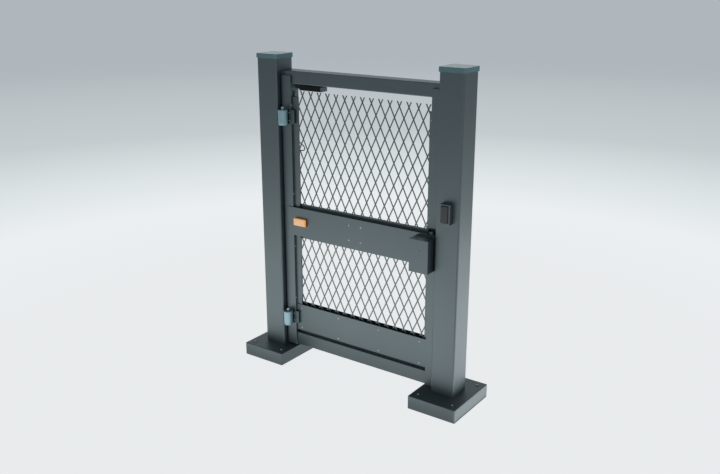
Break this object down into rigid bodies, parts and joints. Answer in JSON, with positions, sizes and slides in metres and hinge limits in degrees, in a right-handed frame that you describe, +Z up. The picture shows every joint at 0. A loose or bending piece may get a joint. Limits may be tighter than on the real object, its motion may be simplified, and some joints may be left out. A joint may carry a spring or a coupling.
{
  "type": "pedestrian swing gate",
  "caption": "Pedestrian gate: a framed leaf with expanded-metal infill, lock band and kick plates swings on barrel hinges between square posts joined by a header.",
  "frame": {"origin": "centre of the hinge post's plinth, on its underside", "axes": "+X along the gate from the hinge post to the lock post, +Z up, -Y towards the side the leaf opens to"},
  "size_m": [1.57, 0.394, 1.947],
  "materials": {
    "frame_paint": "satin blue-grey paint",
    "post_paint": "satin blue-grey paint",
    "plinth_paint": "satin blue-grey paint",
    "cap_paint": "satin teal-grey paint",
    "hinge_steel": "worn zinc-grey steel",
    "mesh_paint": "satin blue-grey paint on expanded metal",
    "lock_paint": "satin blue-grey paint",
    "cylinder_steel": "satin metal",
    "reader_shell": "matt dark grey",
    "reader_face": "matt grey",
    "light_base": "black",
    "amber_lens": "amber lens",
    "junction_shell": "black housing",
    "gland_plastic": "black",
    "cable_sheath": "black sheath"
  },
  "bodies": {
    "frame": {"hinge_plinth": "plinth_paint", "lock_plinth": "plinth_paint", "hinge_post": "post_paint", "lock_post": "post_paint", "hinge_post_cap": "cap_paint", "lock_post_cap": "cap_paint", "upper_post_bracket": "hinge_steel", "lower_post_bracket": "hinge_steel", "reader_housing": "reader_shell", "reader_panel": "reader_face", "header": "frame_paint"},
    "leaf": {"hinge_stile": "frame_paint", "lock_stile": "frame_paint", "lock_rail": "frame_paint", "bottom_rail": "frame_paint", "upper_mesh": "mesh_paint", "lower_mesh": "mesh_paint", "hinge_upper_angle": "frame_paint", "lock_upper_angle": "frame_paint", "hinge_lower_angle": "frame_paint", "lock_lower_angle": "frame_paint", "upper_sill_strip": "frame_paint", "lower_head_strip": "frame_paint", "lock_band": "frame_paint", "lock_box": "lock_paint", "lock_cylinder": "cylinder_steel", "kick_plate_front": "frame_paint", "kick_plate_back": "frame_paint", "light_base": "light_base", "light_lens": "amber_lens", "junction_box": "junction_shell", "junction_plate": "frame_paint", "upper_hinge_barrel": "hinge_steel", "lower_hinge_barrel": "hinge_steel", "upper_hinge_strap": "frame_paint", "lower_hinge_strap": "frame_paint", "upper_cable_gland": "gland_plastic", "lower_cable_gland": "gland_plastic", "cable_loop": "cable_sheath"}
  },
  "joints": [
    {"name": "leaf_swing", "type": "hinge", "parent": "frame", "child": "leaf", "pos_m": [0.112, -0.07, 0.9], "axis": [0, 0, -1], "range_deg": [0, 100]}
  ]
}
